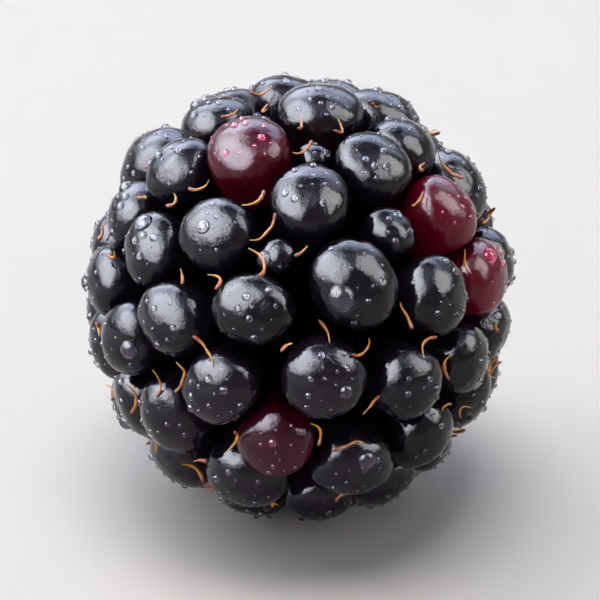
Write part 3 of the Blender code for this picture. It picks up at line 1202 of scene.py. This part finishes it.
@dataclass
class Receptacle:
    """The core that the drupelets sit on: painted near black among them as painted shade for the deep
    gaps, pale where the stalk was.

    Attributes:
        growth: Where the drupelets are.
        core_share: The core's size, as a share of the level of the drupelets' centres.
        scar_radius: The pale end's radius, in millimetres.
        scar_level: How far its rim is from the middle of the outline, in millimetres.
        hollow: How deep the middle of the scar lies below its rim, in millimetres.
        rim: The radius of the rim's rounding, in millimetres.
        ridges: How many fibres show round the scar.
        ridge: How high they stand, in millimetres.
        sway: How far the fibres sway sideways, as the radians of their own wave.
        slants: How many slanting ridges cross them.
        slant_turn: How far those turn from the middle to the rim, in radians of their own wave.
        slant_height: How high those stand, as a share of the fibres.
        circles: How close together the rings round the middle are, in radians from middle to rim.
        circle_sway: How far those sway, in radians of their own wave.
        circle_height: How high those stand, as a share of the fibres.
        flat_middle: The share of the scar's radius within which the ridges sink away.
        pale_below: How far below the rim the scar's pale colour begins, in millimetres.
        pale_fade: Over how many millimetres it comes in.
        rings: How many rings of points the core has from the tip to the scar's neck.
        neck_rings: How many the neck has.
        rim_rings: How many the rim's rounding has.
        scar_rings: How many the scar has.
        segments: How many points a ring has.
        seed: The seed of the draws.
    """

    growth: Growth
    core_share: float = 0.80
    scar_radius: float = 3.2
    scar_level: float = 11.0
    hollow: float = 0.9
    rim: float = 0.5
    ridges: int = 34
    ridge: float = 0.09
    sway: float = 2.2
    slants: int = 11
    slant_turn: float = 14.0
    slant_height: float = 0.6
    circles: float = 23.0
    circle_sway: float = 5.0
    circle_height: float = 0.5
    flat_middle: float = 0.4
    pale_below: float = 2.4
    pale_fade: float = 1.6
    rings: int = 40
    neck_rings: int = 8
    rim_rings: int = 6
    scar_rings: int = 18
    segments: int = 136
    seed: int = 9

    def _profile(self) -> list[tuple[float, float]]:
        """The half outline from the tip to the middle of the scar: (radius, height) in metres."""
        growth = self.growth
        depth = growth.drupelet_radius * growth.usual_bulge
        half_width, half_length, _ = growth.ovoid_axes(depth) * self.core_share
        neck = self.scar_radius * MM
        last = math.acos(neck / half_width)
        angles = np.linspace(-math.pi / 2, last, self.rings)
        line = [(half_width * math.cos(a), half_length * math.sin(a)) for a in angles]
        rim, level = self.rim * MM, self.scar_level * MM
        low = line[-1][1]
        # Each stretch keeps off the ends of those beside it, which are points already.
        shares = np.linspace(0.15, 0.95, self.neck_rings)
        line += [(neck, low + (level - rim - low) * share) for share in shares]
        inner = neck - rim
        line += [
            (inner + rim * math.cos(a), level - rim + rim * math.sin(a))
            for a in np.linspace(0, math.pi / 2, self.rim_rings)
        ]
        shares = np.linspace(0.93, 0.0, self.scar_rings)
        line += [(inner * r, level - self.hollow * MM * (1 - r**2)) for r in shares]
        return line

    def build(self, finish: bpy.types.Material) -> bpy.types.Object:
        """Turns the profile round the stem's axis and raises its fibres."""
        growth = self.growth
        bm = bmesh.new()
        profile = [bm.verts.new((radius, height, 0)) for radius, height in self._profile()]
        edges = [bm.edges.new(pair) for pair in zip(profile, profile[1:])]
        bmesh.ops.spin(
            bm, geom=profile + edges, axis=(0, 1, 0), cent=(0, 0, 0), angle=2 * math.pi,
            steps=self.segments, use_merge=True,
        )
        bmesh.ops.remove_doubles(bm, verts=bm.verts, dist=MERGED)
        bmesh.ops.recalc_face_normals(bm, faces=bm.faces)
        shade_share = self._raise_fibres(bm)
        place = Matrix.Translation(growth.shift) @ Matrix(growth.turn).to_4x4()
        bmesh.ops.transform(bm, matrix=place, verts=bm.verts)
        mesh = bpy.data.meshes.new("receptacle")
        bm.to_mesh(mesh)
        bm.free()
        # The share of painted gap shade at each point: none on the scar, full among the drupelets.
        mesh.attributes.new("shade_share", "FLOAT", "POINT").data.foreach_set("value", shade_share)
        mesh.shade_smooth()
        mesh.materials.append(finish)
        piece = bpy.data.objects.new("receptacle", mesh)
        bpy.context.scene.collection.objects.link(piece)
        return piece

    def _raise_fibres(self, bm: bmesh.types.BMesh) -> list[float]:
        """Moves the scar's points into fibres, the sum of three crooked waves.

        Args:
            bm: The turned core, its stem end towards +Y.

        Returns:
            For each point, how much painted shade it gets: 0 on the pale scar, 1 among the drupelets.
        """
        rng = np.random.default_rng(self.seed)
        phases = rng.uniform(0, 2 * math.pi, 4)
        level = self.scar_level * MM
        neck = self.scar_radius * MM
        shade_share = []
        for vert in bm.verts:
            radius = math.hypot(vert.co.x, vert.co.z)
            turn = math.atan2(vert.co.z, vert.co.x)
            above = vert.co.y - level + self.pale_below * MM
            paleness = min(1.0, max(0.0, above / (self.pale_fade * MM)))
            # Painted shade: every point below the scar's pale band is painted near black.
            shade_share.append(1 - paleness)
            share = radius / neck
            swayed = phases[0] + self.sway * math.sin(3 * turn + phases[1])
            fibres = math.sin(self.ridges * turn + swayed)
            slants = math.sin(self.slants * turn + self.slant_turn * share + phases[2])
            swayed = self.circle_sway * math.sin(2 * turn + phases[3])
            circles = math.sin(self.circles * share + swayed)
            wave = fibres + self.slant_height * slants + self.circle_height * circles
            outer = min(1.0, share / self.flat_middle)
            height = self.ridge * MM * wave * paleness * outer
            vert.co += vert.normal * height
        return shade_share


# ---------------------------------------------------------------------------------------------
# The dried styles
# ---------------------------------------------------------------------------------------------


@dataclass
class Styles:
    """The dried styles: thin hairs caught in the gaps between the drupelets.

    A few hairs start over each drupelet, and are moved off its face into the gaps round it. Of
    those that end up close together only the first stays.

    Attributes:
        growth: Where the drupelets are.
        drupelets: The pieces that the hairs lie on.
        depth: How far below the outline a hair's middle lies, in millimetres.
        rise: How far its ends stand up, as a share of its length.
        thickness: Its radius past the root, in millimetres.
        root: How much thicker its root is, as a share.
        root_fades: The shares of its length between which that goes.
        tip: Its thickness at the tip, as a share.
        tip_from: The share of its length from which it gets finer.
        blunt: Its thickness at the very root, as a share, so that the root is rounded.
        blunt_end: The share of its length at which the rounding ends.
        stoutness: The thickness of the thinnest hair and of the thickest, as a share.
        knots: The thickness at a hair's thin places and at its knots, as a share.
        knot_scale: How close together the knots are.
        bends: The bend of the least bent hair, and how much more the most bent one has, in degrees.
        points: How many rings a hair has.
        sides: How many sides it has.
        crook: How crooked it is, in millimetres.
        crook_scale: How close together the crooks are.
        hairs: How many hairs start at each drupelet, before the crowded ones go.
        stray: How far from the drupelet's middle they start, as a share of the fruit's radius.
        shortest: The least length of a hair, in millimetres.
        longest: The greatest.
        to_stem: No hair grows where its drupelet leans more than this to the stem end.
        clear: How far a hair's middle keeps from a drupelet's, as a share of its radius.
        apart: How far apart two hairs' middles are at least, in degrees.
        rounds: How often the hairs are moved off the faces.
        give: How far they move each time, as a share of what is missing.
        lying: The gaps that a hair is pushed out to in turn, as shares of its thickness.
        seed: The seed of the draws.
    """

    growth: Growth
    drupelets: Sequence[bpy.types.Object]
    depth: float = 0.75
    rise: float = 0.20
    thickness: float = 0.070
    root: float = 0.3
    root_fades: tuple[float, float] = (0.1, 0.5)
    tip: float = 0.35
    tip_from: float = 0.5
    blunt: float = 0.55
    blunt_end: float = 0.12
    stoutness: tuple[float, float] = (0.75, 1.2)
    knots: tuple[float, float] = (0.75, 1.3)
    knot_scale: float = 3500.0
    bends: tuple[float, float] = (-60.0, 260.0)
    points: int = 26
    sides: int = 8
    crook: float = 0.45
    crook_scale: float = 800.0
    hairs: int = 2
    stray: float = 0.16
    shortest: float = 0.8
    longest: float = 2.3
    to_stem: float = 0.86
    clear: float = 1.25
    apart: float = 9.0
    rounds: int = 60
    give: float = 0.3
    lying: tuple[float, float] = (0.9, 0.6)
    seed: int = 21

    def _into_gaps(self, outward: Array) -> Array:
        """Moves the directions that point at a drupelet's face into the gaps round it."""
        growth = self.growth
        faces = growth.faces()
        kept_off = self.clear * growth.radius / np.linalg.norm(growth.centre - growth.shift, axis=1)
        for _ in range(self.rounds):
            apart = outward[:, None, :] - faces[None]
            distance = np.linalg.norm(apart, axis=2) + TINY
            push = np.clip(kept_off - distance, 0, None) / distance
            outward = unit(outward + self.give * (apart * push[..., None]).sum(axis=1))
        return outward

    def _uncrowded(self, outward: Array) -> list[int]:
        """The hairs that stay when none may lie close to one before it."""
        closest = math.cos(math.radians(self.apart))
        kept: list[int] = []
        for i, way in enumerate(outward):
            if not kept or (outward[kept] @ way).max() < closest:
                kept.append(i)
        return kept

    def _start(self) -> bpy.types.Mesh:
        """The middles of the hairs, with what shapes each one."""
        growth = self.growth
        rng = np.random.default_rng(self.seed)
        faces = growth.faces()
        starts = np.repeat(faces[faces @ STEM_END < self.to_stem], self.hairs, axis=0)
        outward = self._into_gaps(unit(starts + self.stray * rng.standard_normal(starts.shape)))
        towards = rng.standard_normal(starts.shape)
        length = rng.uniform(self.shortest, self.longest, len(starts))
        least, more = self.bends
        bend = least + more * rng.uniform(size=len(starts)) ** 2
        kept = self._uncrowded(outward)
        outward, towards, length, bend = outward[kept], towards[kept], length[kept], bend[kept]
        skin_level = growth.stretch(outward, self.depth * MM)
        middle = growth.in_frame(outward * skin_level)
        out = unit(outward / growth.ovoid_axes(self.depth * MM)) @ growth.turn.T
        along = towards @ growth.turn.T
        along = unit(along - (along * out).sum(axis=1, keepdims=True) * out)
        return points_mesh(
            "style_places", middle,
            {
                "middle": middle,
                "along": along,
                "aside": np.cross(out, along),
                "out": out,
                "length": length * MM,
                "bend": np.radians(bend),
                "stout": rng.uniform(*self.stoutness, len(middle)),
            },
        )

    def build(self, finish: bpy.types.Material) -> bpy.types.Object:
        """Grows the hairs, bent to the skins that they lie on."""
        tree = GrowthTree.new("style_growth")
        given = tree.given
        thickness, root = given("Thickness", self.thickness * MM), given("Root", self.root)
        rise, crook = given("Rise", self.rise), given("Crook", self.crook * MM)
        points, sides = given("Points", self.points), given("Sides", self.sides)
        skin = given("Hair", finish)
        skins = tree.joined(self.drupelets)
        line = tree.node("GeometryNodeCurvePrimitiveLine").outputs[0]
        line = tree.node("GeometryNodeResampleCurve", {"Curve": line, "Count": points}).outputs[0]
        hairs = tree.node(
            "GeometryNodeInstanceOnPoints", {"Points": tree.group_in.outputs[0], "Instance": line}
        ).outputs[0]
        hairs = tree.node("GeometryNodeRealizeInstances", {"Geometry": hairs}).outputs[0]
        share = tree.node("GeometryNodeSplineParameter").outputs["Factor"]
        hairs = tree.store(hairs, "share", share)
        hairs = tree.moved(hairs, to=self._path(tree, rise))
        waves = tree.node(
            "ShaderNodeTexNoise",
            {"Vector": tree.position(), "Scale": self.crook_scale, "Detail": 1.0},
        ).outputs["Color"]
        sway = tree.scaled(tree.vector("SUBTRACT", waves, (0.5, 0.5, 0.5)), crook)
        hairs = tree.moved(hairs, by=sway)
        for gap_share in self.lying:
            gap = tree.math("MULTIPLY", thickness, gap_share)
            hairs = tree.pushed_out(hairs, skins, gap)
            eased = tree.node(
                "GeometryNodeBlurAttribute", {"Value": tree.position(), "Iterations": 2},
                data_type="FLOAT_VECTOR",
            ).outputs["Value"]
            hairs = tree.moved(hairs, to=eased)
        ring = tree.node("GeometryNodeCurvePrimitiveCircle", {"Resolution": sides, "Radius": 1.0})
        mesh = tree.node(
            "GeometryNodeCurveToMesh",
            {
                "Curve": hairs,
                "Profile Curve": ring.outputs["Curve"],
                "Scale": self._radius(tree, thickness, root),
                "Fill Caps": True,
            },
        ).outputs[0]
        tree.finish(tree.set_down(mesh), skin)
        piece = tree.grown("styles", self._start(), ("share",))
        return piece

    @staticmethod
    def _path(tree: GrowthTree, rise: object) -> bpy.types.NodeSocket:
        """Where a hair's points lie: an arc in the skin's plane, with its ends standing up."""
        share, length = tree.attribute("share", "FLOAT"), tree.attribute("length", "FLOAT")
        bend = tree.attribute("bend", "FLOAT")
        half = tree.math("MULTIPLY", bend, 0.5)
        turn = tree.math("MULTIPLY", bend, tree.math("SUBTRACT", share, 0.5))
        scale = tree.math("DIVIDE", length, bend)
        forth = tree.math("MULTIPLY", tree.math("SINE", turn), scale)
        bow = tree.math("SUBTRACT", tree.math("COSINE", half), tree.math("COSINE", turn))
        from_middle = tree.math("MULTIPLY_ADD", share, 2.0, -1.0)
        lift = tree.math("MULTIPLY", tree.math("POWER", from_middle, 2.0), rise)
        steps = (
            (tree.attribute("along"), forth),
            (tree.attribute("aside"), tree.math("MULTIPLY", bow, scale)),
            (tree.attribute("out"), tree.math("MULTIPLY", lift, length)),
        )
        place = tree.attribute("middle")
        for way, distance in steps:
            place = tree.vector("ADD", place, tree.scaled(way, distance))
        return place

    def _radius(self, tree: GrowthTree, thickness: object, root: object) -> bpy.types.NodeSocket:
        """A hair's radius along it: stout in its root half, and finer towards its tip."""
        share = tree.attribute("share", "FLOAT")
        swell = tree.math("MULTIPLY", tree.remap(share, *self.root_fades, (1.0, 0.0)), root)
        fine = tree.remap(share, self.tip_from, 1.0, (1.0, self.tip))
        blunt = tree.remap(share, 0.0, self.blunt_end, (self.blunt, 1.0))
        shape = tree.math("MULTIPLY", tree.math("ADD", swell, 1.0), fine)
        shape = tree.math("MULTIPLY", shape, blunt)
        knots = tree.noise(tree.position(), self.knot_scale, 1.0)
        shape = tree.math("MULTIPLY", shape, tree.remap(knots, 0.25, 0.75, self.knots))
        shape = tree.math("MULTIPLY", shape, tree.attribute("stout", "FLOAT"))
        return tree.math("MULTIPLY", shape, thickness)


# ---------------------------------------------------------------------------------------------
# The water
# ---------------------------------------------------------------------------------------------


@dataclass
class Water:
    """Rinse water: fine beads all over the drupelets, and some larger drops.

    Attributes:
        growth: Where the drupelets are.
        drupelets: The pieces that the water sits on.
        spacing: The least distance between two beads, in millimetres.
        density: How many beads there could be on a square metre.
        smallest: The least radius of a bead, in millimetres.
        largest: The greatest.
        facing: How far outwards the skin faces where beads begin, and where they are dense.
        off_floor: The heights at which beads begin, and at which they are dense, in millimetres.
        bead_segments: How many sides a bead has.
        bead_rings: How many rings it has from end to end.
        flatness: A bead's height as a share of its radius.
        drop_cuts: How fine a larger drop's mesh is.
        drop_flatness: The same as flatness, for a larger drop.
        drops_shared: How many larger drops there are, on drupelets drawn at random.
        drop_widths: The least and the greatest width of those, in millimetres.
        drop_height: How high a drupelet's middle has to be to bear one, in millimetres.
        drop_stray: How far from its drupelet's middle one sits, as a share of the fruit's radius.
        great_width: The width of the one great drop, in millimetres.
        great_drop_below: How far nearer the tip it sits than its drupelet's middle, in degrees.
        outside: How far out the rays that find the skin start, as a share of the fruit's radius.
        sunk: How far a bead's or a drop's middle lies under the skin, as a share of its radius.
        seed: The seed of the draws.
    """

    growth: Growth
    drupelets: Sequence[bpy.types.Object]
    spacing: float = 0.56
    density: float = 2.8e6
    smallest: float = 0.08
    largest: float = 0.27
    facing: tuple[float, float] = (0.25, 0.75)
    off_floor: tuple[float, float] = (0.35, 0.6)
    bead_segments: int = 8
    bead_rings: int = 6
    flatness: float = 0.9
    drop_cuts: int = 4
    drop_flatness: float = 0.85
    drops_shared: int = 26
    drop_widths: tuple[float, float] = (0.5, 1.2)
    drop_height: float = 4.5
    drop_stray: float = 0.07
    great_width: float = 1.6
    great_drop_below: float = 7.0
    outside: float = 1.3
    sunk: float = 0.15
    seed: int = 5

    def _bead(self, tree: GrowthTree, sphere: object, flatness: float) -> bpy.types.NodeSocket:
        """A flattened ball that stands on the skin."""
        x, y, z = tree.parts(tree.position())
        height = tree.math("MULTIPLY", tree.math("SUBTRACT", z, self.sunk), flatness)
        return tree.moved(sphere, to=tree.combine(x, y, height))

    def beads(self, finish: bpy.types.Material) -> bpy.types.Object:
        """Scatters the fine beads over the outer parts of the skins."""
        tree = GrowthTree.new("bead_growth")
        given = tree.given
        spacing, density = given("Spacing", self.spacing * MM), given("Density", self.density)
        smallest, largest = given("Smallest", self.smallest * MM), given("Largest", self.largest * MM)
        water = given("Water", finish)
        skins = tree.joined(self.drupelets)
        low, high = self.off_floor
        off_floor = tree.remap(tree.parts(tree.position())[2], low * MM, high * MM)
        outer = tree.remap(tree.attribute("outwards", "FLOAT"), *self.facing)
        spread = tree.node(
            "GeometryNodeDistributePointsOnFaces",
            {
                "Mesh": skins,
                "Distance Min": spacing,
                "Density Max": density,
                "Density Factor": tree.math("MULTIPLY", outer, off_floor),
                "Seed": self.seed,
            },
            distribute_method="POISSON",
        )
        ball = tree.node(
            "GeometryNodeMeshUVSphere",
            {"Segments": self.bead_segments, "Rings": self.bead_rings, "Radius": 1.0},
        )
        draw = tree.math("POWER", tree.chance(0.0, 1.0, self.seed + 1), 2.0)
        radius = tree.math("MULTIPLY_ADD", draw, tree.math("SUBTRACT", largest, smallest), smallest)
        placed = tree.node(
            "GeometryNodeInstanceOnPoints",
            {
                "Points": spread.outputs["Points"],
                "Instance": self._bead(tree, ball.outputs["Mesh"], self.flatness),
                "Rotation": spread.outputs["Rotation"],
                "Scale": radius,
            },
        ).outputs[0]
        tree.finish(placed, water)
        piece = tree.grown("dew", bpy.data.meshes.new("no_points"))
        return piece

    def _drop_places(self) -> tuple[Array, Array]:
        """Where the larger drops sit.

        The great drop sits low on the face of one large drupelet of the front. The drops on
        drupelets drawn at random are mostly small.

        Returns:
            The direction of each drop, and its width in metres.
        """
        rng = np.random.default_rng(self.seed + 2)
        faces = self.growth.faces()
        bearers = np.flatnonzero(self.growth.centre[:, 2] > self.drop_height * MM)
        ways = faces[rng.choice(bearers, self.drops_shared, replace=False)]
        ways = unit(ways + self.drop_stray * rng.standard_normal(ways.shape))
        least, most = self.drop_widths
        widths = least + (most - least) * rng.uniform(size=len(ways)) ** 2
        large = FRONT[GREAT_DROP_ON]
        below = replace(large, from_tip=large.from_tip - self.great_drop_below)
        ways = np.vstack((below.direction(), ways))
        return ways, np.append(self.great_width, widths) * MM

    def drops(self, finish: bpy.types.Material) -> bpy.types.Object:
        """Sets the larger drops on the skins, where a ray from outside meets them."""
        growth = self.growth
        ways, widths = self._drop_places()
        outside = growth.in_frame(ways * growth.stretch(ways, 0.0) * self.outside)
        inwards = unit(growth.in_frame(np.zeros((1, 3))) - outside)
        start = points_mesh("drop_places", outside, {"inwards": inwards, "width": widths})
        tree = GrowthTree.new("drop_growth")
        water = tree.given("Water", finish)
        skins = tree.joined(self.drupelets)
        ray = tree.node(
            "GeometryNodeRaycast",
            {
                "Target Geometry": skins,
                "Source Position": tree.position(),
                "Ray Direction": tree.attribute("inwards"),
                "Ray Length": 1.0,
            },
        )
        landed = tree.store(
            tree.group_in.outputs[0], "facing", ray.outputs["Hit Normal"], "FLOAT_VECTOR"
        )
        landed = tree.moved(landed, to=ray.outputs["Hit Position"])
        facing = tree.node(
            "FunctionNodeAlignRotationToVector", {"Vector": tree.attribute("facing")}, axis="Z"
        ).outputs[0]
        ball = tree.node(
            "GeometryNodeMeshIcoSphere", {"Radius": 0.5, "Subdivisions": self.drop_cuts}
        )
        placed = tree.node(
            "GeometryNodeInstanceOnPoints",
            {
                "Points": landed,
                "Instance": self._bead(tree, ball.outputs["Mesh"], self.drop_flatness),
                "Rotation": facing,
                "Scale": tree.attribute("width", "FLOAT"),
            },
        ).outputs[0]
        tree.finish(placed, water)
        piece = tree.grown("drops", start)
        return piece


# ---------------------------------------------------------------------------------------------
# The studio
# ---------------------------------------------------------------------------------------------


@dataclass(frozen=True)
class SoftBox:
    """A square or oblong soft light.

    Attributes:
        name: Its name.
        azimuth: Degrees round from +X towards +Y, seen from above.
        elevation: Degrees above the surface.
        distance: How far it is from the berry, in metres.
        width: In metres, level.
        height: In metres.
        power: In watts.
        mirrored: Whether it shows in glossy skin. One that doesn't only lights the surface.
        colour: Its colour.
        feather: The share of its width over which it fades at each edge.
    """

    name: str
    azimuth: float
    elevation: float
    distance: float
    width: float
    height: float
    power: float
    mirrored: bool
    colour: Colour = (1.0, 1.0, 1.0)
    feather: float = 0.12

    def _fade(self, light: bpy.types.Light) -> None:
        """Lets the light fade towards its edges."""
        light.use_nodes = True
        graph = Graph(light.node_tree)
        places = graph.parts(graph.node("ShaderNodeNewGeometry").outputs["Parametric"])
        fades = []
        for place in places[:2]:
            off_middle = graph.math("ABSOLUTE", graph.math("SUBTRACT", place, 0.5))
            fades.append(graph.remap(graph.math("SUBTRACT", 0.5, off_middle), 0.0, self.feather))
        strength = graph.math("MULTIPLY", *fades)
        graph.feed(graph.tree.nodes["Emission"].inputs["Strength"], strength)

    def build(self, target: Vector) -> bpy.types.Object:
        """Makes the light, aimed at target."""
        light = bpy.data.lights.new(self.name, "AREA")
        light.shape = "RECTANGLE"
        light.size = self.width
        light.size_y = self.height
        light.energy = self.power
        light.color = self.colour
        self._fade(light)
        made = bpy.data.objects.new(self.name, light)
        turn, rise = math.radians(self.azimuth), math.radians(self.elevation)
        level = math.cos(rise)
        way = Vector((level * math.cos(turn), level * math.sin(turn), math.sin(rise)))
        made.location = target + way * self.distance
        made.rotation_euler = (-way).to_track_quat("-Z", "Y").to_euler()
        made.visible_camera = False
        made.visible_glossy = self.mirrored
        made.visible_transmission = self.mirrored
        made.visible_diffuse = not self.mirrored
        bpy.context.scene.collection.objects.link(made)
        return made


@dataclass
class Studio:
    """A plain pale floor, soft lights and a camera that looks down at the tip.

    Attributes:
        camera_elevation: How steeply the camera looks down, in degrees.
        lens: Its focal length, in millimetres.
        view_width: How much it shows at the berry, in millimetres.
        clip_start: Where it begins to see, in metres.
        floor_radius: The radius of the flat floor, in metres.
        cove: The radius of the curve from the floor to the wall, in metres.
        cove_start: Where the curve leaves the floor, as an angle in radians.
        cove_rings: How many rings of points the curve has.
        wall_height: How high the wall is, as a share of the curve's radius.
        floor_segments: How many points a ring has.
        upright: The steepest a face may be that still counts as floor, as its normal's Z.
        floor_colour: The colour of floor and wall.
        lights: The soft lights.
        room_power: The power of the lamp overhead, in watts.
        room_height: How high it hangs, in metres.
        room_radius: How large it is, in metres.
        room_colour: Its colour.
        world_colour: The faint light from everywhere else.
    """

    camera_elevation: float = 25.0
    lens: float = 400.0
    view_width: float = 33.0
    clip_start: float = 0.01
    floor_radius: float = 1.2
    cove: float = 0.9
    cove_start: float = 0.08
    cove_rings: int = 16
    wall_height: float = 2.0
    floor_segments: int = 96
    upright: float = 0.1
    floor_colour: Colour = (0.86, 0.85, 0.84)
    lights: tuple[SoftBox, ...] = (
        SoftBox("key_card", 205.0, 44.0, 1.0, 2.6, 1.9, 450.0, True, (0.86, 0.88, 1.0), 0.42),
        SoftBox("rear_card", 135.0, 40.0, 1.1, 1.8, 1.6, 95.0, True, (0.80, 0.86, 1.0), 0.4),
        SoftBox("side_card", 355.0, 40.0, 1.0, 1.0, 1.3, 55.0, True, (0.96, 0.97, 1.0), 0.3),
        SoftBox("back_card", 80.0, 40.0, 1.3, 2.6, 1.4, 90.0, True, (0.62, 0.72, 1.0), 0.4),
        SoftBox("ceiling", 270.0, 78.0, 1.2, 2.4, 1.8, 32.0, True, (0.60, 0.70, 1.0), 0.45),
        SoftBox("key", 150.0, 50.0, 1.1, 1.3, 1.0, 6.8, False, (1.0, 0.97, 0.95)),
    )
    room_power: float = 42.0
    room_height: float = 1.5
    room_radius: float = 0.5
    room_colour: Colour = (1.0, 0.97, 0.95)
    world_colour: Colour = (0.02, 0.02, 0.022)

    def build(self, low: Vector, high: Vector) -> None:
        """Builds it round the berry's box, which has these lowest and highest corners."""
        middle = (low + high) / 2
        self._floor()
        for light in self.lights:
            light.build(middle)
        self._room_light()
        self._camera(middle)
        world = bpy.data.worlds.new("studio")
        world.use_nodes = True
        background = world.node_tree.nodes["Background"]
        background.inputs["Color"].default_value = rgba(self.world_colour)
        bpy.context.scene.world = world
        bpy.context.scene.view_settings.view_transform = "Standard"

    def _floor(self) -> None:
        """A flat round of the pale surface, which curves up to a wall far from the berry."""
        line = [(0.0, 0.0), (self.floor_radius, 0.0)]
        line += [
            (self.floor_radius + self.cove * math.sin(a), self.cove * (1 - math.cos(a)))
            for a in np.linspace(self.cove_start, math.pi / 2, self.cove_rings)
        ]
        line.append((self.floor_radius + self.cove, self.wall_height * self.cove))
        bm = bmesh.new()
        profile = [bm.verts.new((radius, 0, height)) for radius, height in line]
        edges = [bm.edges.new(pair) for pair in zip(profile, profile[1:])]
        bmesh.ops.spin(
            bm, geom=profile + edges, axis=(0, 0, 1), angle=2 * math.pi,
            steps=self.floor_segments, use_merge=True,
        )
        bmesh.ops.remove_doubles(bm, verts=bm.verts, dist=MERGED)
        for face in bm.faces:
            face.normal_update()
            outwards = face.normal.dot(face.calc_center_median()) > 0
            if face.normal.z < 0 or (face.normal.z < self.upright and outwards):
                face.normal_flip()
        mesh = bpy.data.meshes.new("floor")
        bm.to_mesh(mesh)
        bm.free()
        mesh.shade_smooth()
        mesh.materials.append(FloorFinish("floor", self.floor_colour).material())
        floor = bpy.data.objects.new("floor", mesh)
        bpy.context.scene.collection.objects.link(floor)

    def _room_light(self) -> None:
        """A large soft lamp overhead, which lights the floor and its cove but shows in no skin."""
        light = bpy.data.lights.new("room", "POINT")
        light.energy = self.room_power
        light.color = self.room_colour
        light.shadow_soft_size = self.room_radius
        made = bpy.data.objects.new("room", light)
        made.location = (0.0, 0.0, self.room_height)
        made.visible_camera = False
        made.visible_glossy = False
        made.visible_transmission = False
        bpy.context.scene.collection.objects.link(made)

    def _camera(self, middle: Vector) -> None:
        """A long lens that looks along +Y and down."""
        data = bpy.data.cameras.new("camera")
        data.lens = self.lens
        half_angle = math.atan(data.sensor_width / 2 / self.lens)
        distance = self.view_width * MM / 2 / math.tan(half_angle)
        rise = math.radians(self.camera_elevation)
        back = Vector((0.0, -math.cos(rise), math.sin(rise)))
        camera = bpy.data.objects.new("camera", data)
        camera.location = middle + back * distance
        camera.rotation_euler = (-back).to_track_quat("-Z", "Y").to_euler()
        data.clip_start = self.clip_start
        bpy.context.scene.collection.objects.link(camera)
        bpy.context.scene.camera = camera


def main() -> None:
    """Builds the berry and its studio, piece by piece."""
    logging.basicConfig(level=logging.INFO, format="%(message)s")
    effects = SharedEffects()
    ripe = SkinFinish(
        Slot.RIPE_SKIN.value,
        deep=(0.005, 0.004, 0.007),
        light=(0.011, 0.007, 0.014),
        sheen_red=(0.05, 0.004, 0.012),
        blush=0.25,
        roughness=0.085,
        glow=0.0,
        mirror=0.34,
    ).material(effects)
    red = SkinFinish(
        Slot.RED_SKIN.value,
        deep=(0.045, 0.002, 0.013),
        light=(0.15, 0.001, 0.015),
        sheen_red=(0.20, 0.001, 0.010),
        blush=0.5,
        roughness=0.11,
        glow=0.25,
        mirror=0.32,
    ).material(effects)
    flesh = FleshFinish(
        Slot.FLESH.value,
        pale=(0.75, 0.66, 0.45),
        tan=(0.55, 0.40, 0.20),
        # Near black: painted shade for the deep gaps among the drupelets.
        gap_shade_colour=(0.002, 0.0005, 0.001),
    ).material(effects)
    style = StyleFinish(
        Slot.STYLE.value,
        root=(0.22, 0.036, 0.012),
        middle=(0.68, 0.24, 0.018),
        tip=(0.78, 0.42, 0.06),
    ).material(effects)
    water = WaterFinish(Slot.WATER.value).material()
    growth = Growth()
    drupelets = Drupelets(growth).build(ripe, red)
    wetting = Water(growth, drupelets)
    pieces = [
        *drupelets,
        Receptacle(growth).build(flesh),
        Styles(growth, drupelets).build(style),
        wetting.beads(water),
        wetting.drops(water),
    ]
    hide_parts(BERRY_NODE)
    for piece in pieces:
        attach(piece, BODY)
        LOG.info("%s: %d faces", piece.name, len(piece.data.polygons))
    Studio().build(*CAD_BOX)


if __name__ == "__main__":
    main()
